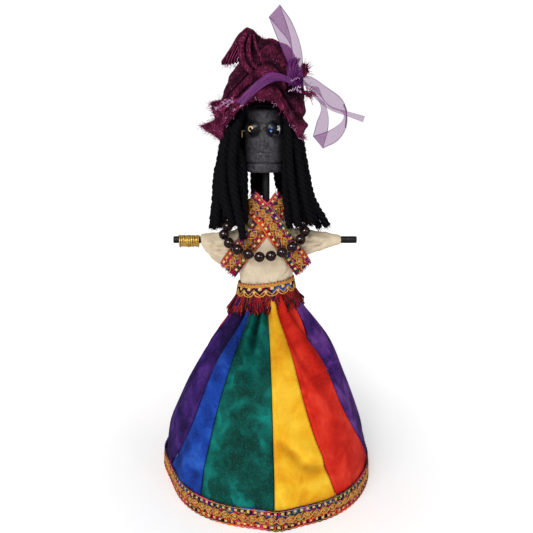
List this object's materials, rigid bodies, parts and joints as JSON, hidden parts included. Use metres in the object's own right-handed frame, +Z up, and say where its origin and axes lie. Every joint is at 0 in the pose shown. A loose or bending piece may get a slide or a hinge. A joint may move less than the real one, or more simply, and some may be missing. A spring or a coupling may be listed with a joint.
{
  "type": "rod puppet",
  "caption": "Free-standing rod puppet: black wooden head on a rod, arm bar through cloth sleeves, crossed embroidered trim, yarn hair, gauze turban with bow, and gored bell skirt.",
  "frame": {"origin": "on the ground under the spine rod, at the middle of the wooden foot", "axes": "+Z up, the face looks along -Y, +X to the right of someone facing the puppet"},
  "size_m": [0.1701, 0.172, 0.3521],
  "materials": {
    "black_wood": "matt black paint over wood",
    "pale_wood": "bare wood",
    "wadding": "cotton wadding",
    "calico": "plain woven cotton",
    "petticoat_net": "stiff net",
    "embroidered_braid": "embroidered trim",
    "fringe_threads": "loose threads",
    "skirt_purple": "dyed cotton sateen",
    "skirt_blue": "dyed cotton sateen",
    "skirt_green": "dyed cotton sateen",
    "skirt_yellow": "dyed cotton sateen",
    "skirt_red": "dyed cotton sateen",
    "eye_crystal": "faceted and glossy",
    "turban_gauze": "crinkled gauze",
    "ribbon_organza": "sheer organza",
    "gold_wire": "polished gold-coloured wire",
    "yarn_hair": "twisted black yarn",
    "bead_gloss": "high gloss",
    "necklace_cord": "thin cord"
  },
  "bodies": {
    "stand": {"base_disc": "pale_wood", "spine_rod": "black_wood", "torso_core": "pale_wood", "neck_rod": "black_wood", "torso_padding": "wadding", "blouse": "calico", "sash_over": "embroidered_braid", "sash_under": "embroidered_braid", "waist_band": "embroidered_braid", "waist_fringe": "fringe_threads", "gore_blue": "skirt_blue", "gore_green": "skirt_green", "gore_yellow": "skirt_yellow", "gore_red": "skirt_red", "gore_purple_right": "skirt_purple", "gore_back_blue": "skirt_blue", "gore_back_red": "skirt_red", "gore_purple_left": "skirt_purple", "petticoat": "petticoat_net", "hem_trim": "embroidered_braid"},
    "head": {"head_block": "black_wood", "eye_left": "eye_crystal", "eye_right": "eye_crystal", "turban": "turban_gauze", "turban_fold": "turban_gauze", "ribbon": "ribbon_organza", "hair_front_left": "yarn_hair", "hair_front_right": "yarn_hair", "hair_back_left": "yarn_hair", "hair_back_right": "yarn_hair"},
    "earring": {"earring": "gold_wire"},
    "hair_left": {"hair_left_1": "yarn_hair", "hair_left_2": "yarn_hair", "hair_left_3": "yarn_hair", "hair_left_4": "yarn_hair", "hair_left_5": "yarn_hair"},
    "hair_right": {"hair_right_1": "yarn_hair", "hair_right_2": "yarn_hair", "hair_right_3": "yarn_hair"},
    "necklace": {"necklace_cord": "necklace_cord", "bead_01": "bead_gloss", "bead_02": "bead_gloss", "bead_03": "bead_gloss", "bead_04": "bead_gloss", "bead_05": "bead_gloss", "bead_06": "bead_gloss", "bead_07": "bead_gloss", "bead_08": "bead_gloss", "bead_09": "bead_gloss", "bead_10": "bead_gloss", "bead_11": "bead_gloss", "bead_12": "bead_gloss", "bead_13": "bead_gloss", "bead_14": "bead_gloss", "bead_15": "bead_gloss", "bead_16": "bead_gloss", "bead_17": "bead_gloss", "bead_18": "bead_gloss"},
    "arm_bar": {"arm_bar": "black_wood"},
    "bangle": {"bangle": "gold_wire"}
  },
  "joints": [
    {"name": "head_turn", "type": "hinge", "parent": "stand", "child": "head", "pos_m": [0, 0, 0.241], "axis": [0, 0, 1], "range_deg": [-20, 20]},
    {"name": "earring_swing", "type": "hinge", "parent": "head", "child": "earring", "pos_m": [-0.0174, -0.004, 0.2706], "axis": [1, 0, 0], "range_deg": [-25, 25]},
    {"name": "hair_left_swing", "type": "hinge", "parent": "head", "child": "hair_left", "pos_m": [-0.027, -0.006, 0.27], "axis": [0, 1, 0], "range_deg": [0, 10]},
    {"name": "hair_right_swing", "type": "hinge", "parent": "head", "child": "hair_right", "pos_m": [0.0225, -0.003, 0.268], "axis": [0, -1, 0], "range_deg": [0, 10]},
    {"name": "necklace_swing", "type": "hinge", "parent": "stand", "child": "necklace", "pos_m": [0, 0.013, 0.213], "axis": [-1, 0, 0], "range_deg": [0, 5]},
    {"name": "arm_bar_turn", "type": "hinge", "parent": "stand", "child": "arm_bar", "pos_m": [0, 0, 0.18965], "axis": [1, 0, 0], "range_deg": [-30, 30]},
    {"name": "bangle_slide", "type": "slide", "parent": "arm_bar", "child": "bangle", "axis": [-1, 0, 0], "range_m": [0, 0.018]}
  ]
}
